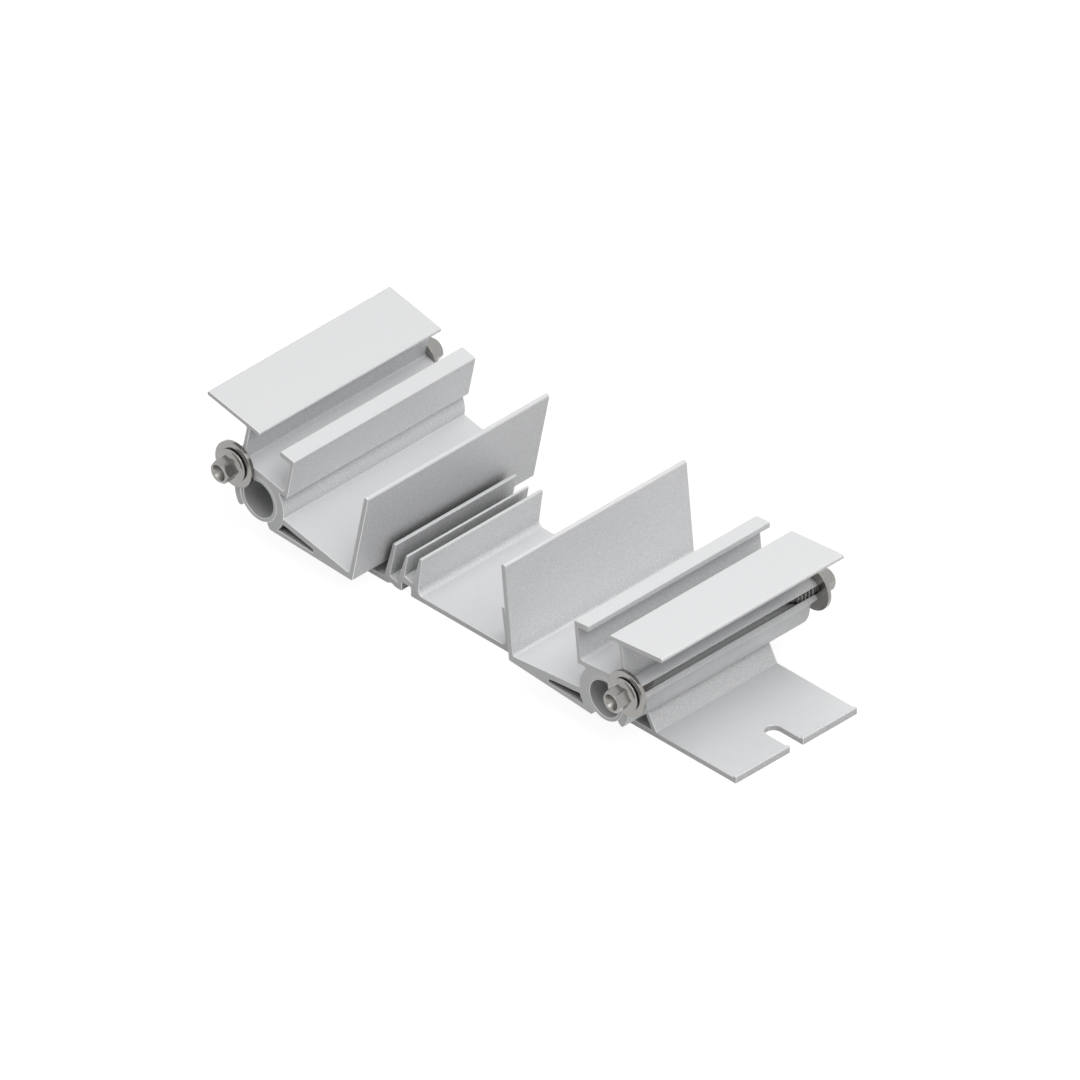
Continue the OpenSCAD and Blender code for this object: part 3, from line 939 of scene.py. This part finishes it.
def make_camera(settings):
    """Level, parallel view down the three axes."""
    azimuth = math.radians(settings.azimuth)
    elevation = math.radians(settings.elevation)
    right = Vector((math.cos(azimuth), math.sin(azimuth), 0.0))
    level = math.cos(elevation)
    back = Vector((math.sin(azimuth) * level, -math.cos(azimuth) * level, math.sin(elevation)))
    up = back.cross(right)
    target = right * VIEW_RIGHT + up * VIEW_UP
    camera = bpy.data.cameras.new("camera")
    camera.type = "ORTHO"
    camera.ortho_scale = settings.view_width
    camera.clip_end = 10 * CAMERA_DISTANCE
    seat = bpy.data.objects.new("camera", camera)
    seat.location = target + back * CAMERA_DISTANCE
    seat.rotation_euler = (-back).to_track_quat("-Z", "Y").to_euler()
    bpy.context.scene.collection.objects.link(seat)
    bpy.context.scene.camera = seat


class SUPPORT_OT_base_rail(bpy.types.Operator):
    """Dress the base rail"""

    bl_idname = "support.base_rail"
    bl_label = "Base rail"

    def execute(self, context):
        dress_extrusion("base_rail")
        return {"FINISHED"}


class SUPPORT_OT_holders(bpy.types.Operator):
    """Dress both module holders"""

    bl_idname = "support.holders"
    bl_label = "Module holders"

    def execute(self, context):
        for side in SIDES:
            dress_extrusion(f"{side}_holder")
        return {"FINISHED"}


class SUPPORT_OT_washers(bpy.types.Operator):
    """Make the four stamped washers"""

    bl_idname = "support.washers"
    bl_label = "Washers"

    def execute(self, context):
        for side in SIDES:
            for end in ENDS:
                make_washer(Place(side, end))
        return {"FINISHED"}


class SUPPORT_OT_screws(bpy.types.Operator):
    """Make the near machine screws and the far thread-forming screws"""

    bl_idname = "support.screws"
    bl_label = "Screws"

    def execute(self, context):
        for side in SIDES:
            make_near_screw(Place(side, "near"))
            make_far_screw(Place(side, "far"))
        return {"FINISHED"}


class SUPPORT_OT_stage(bpy.types.Operator):
    """Make the camera, floor, sky and soft boxes"""

    bl_idname = "support.stage"
    bl_label = "Stage"

    def execute(self, context):
        settings = context.scene.stage_settings
        make_camera(settings)
        make_floor(settings)
        make_sky(settings)
        for lamp in LAMPS:
            make_lamp(*lamp)
        context.scene.view_settings.view_transform = "Standard"
        return {"FINISHED"}


class SUPPORT_PT_panel(bpy.types.Panel):
    """Finishes and pieces of the roof support"""

    bl_idname = "SUPPORT_PT_panel"
    bl_label = "Roof support"
    bl_space_type = "VIEW_3D"
    bl_region_type = "UI"
    bl_category = "Roof support"

    def draw(self, context):
        for group in ("support_finish", "hardware_sizes", "stage_settings"):
            settings = getattr(context.scene, group)
            box = self.layout.box()
            for name in settings.__annotations__:
                box.prop(settings, name)
        for operator in OPERATORS:
            self.layout.operator(operator.bl_idname)


OPERATORS = (
    SUPPORT_OT_stage,
    SUPPORT_OT_base_rail,
    SUPPORT_OT_holders,
    SUPPORT_OT_washers,
    SUPPORT_OT_screws,
)
CLASSES = (SupportFinish, HardwareSizes, StageSettings, *OPERATORS, SUPPORT_PT_panel)


def register():
    for cls in CLASSES:
        bpy.utils.register_class(cls)
    bpy.types.Scene.support_finish = PointerProperty(type=SupportFinish)
    bpy.types.Scene.hardware_sizes = PointerProperty(type=HardwareSizes)
    bpy.types.Scene.stage_settings = PointerProperty(type=StageSettings)


def unregister():
    del bpy.types.Scene.stage_settings
    del bpy.types.Scene.hardware_sizes
    del bpy.types.Scene.support_finish
    for cls in reversed(CLASSES):
        bpy.utils.unregister_class(cls)


def main():
    register()
    bpy.ops.support.stage()
    bpy.ops.support.base_rail()
    bpy.ops.support.holders()
    bpy.ops.support.washers()
    bpy.ops.support.screws()


if __name__ == "__main__":
    main()
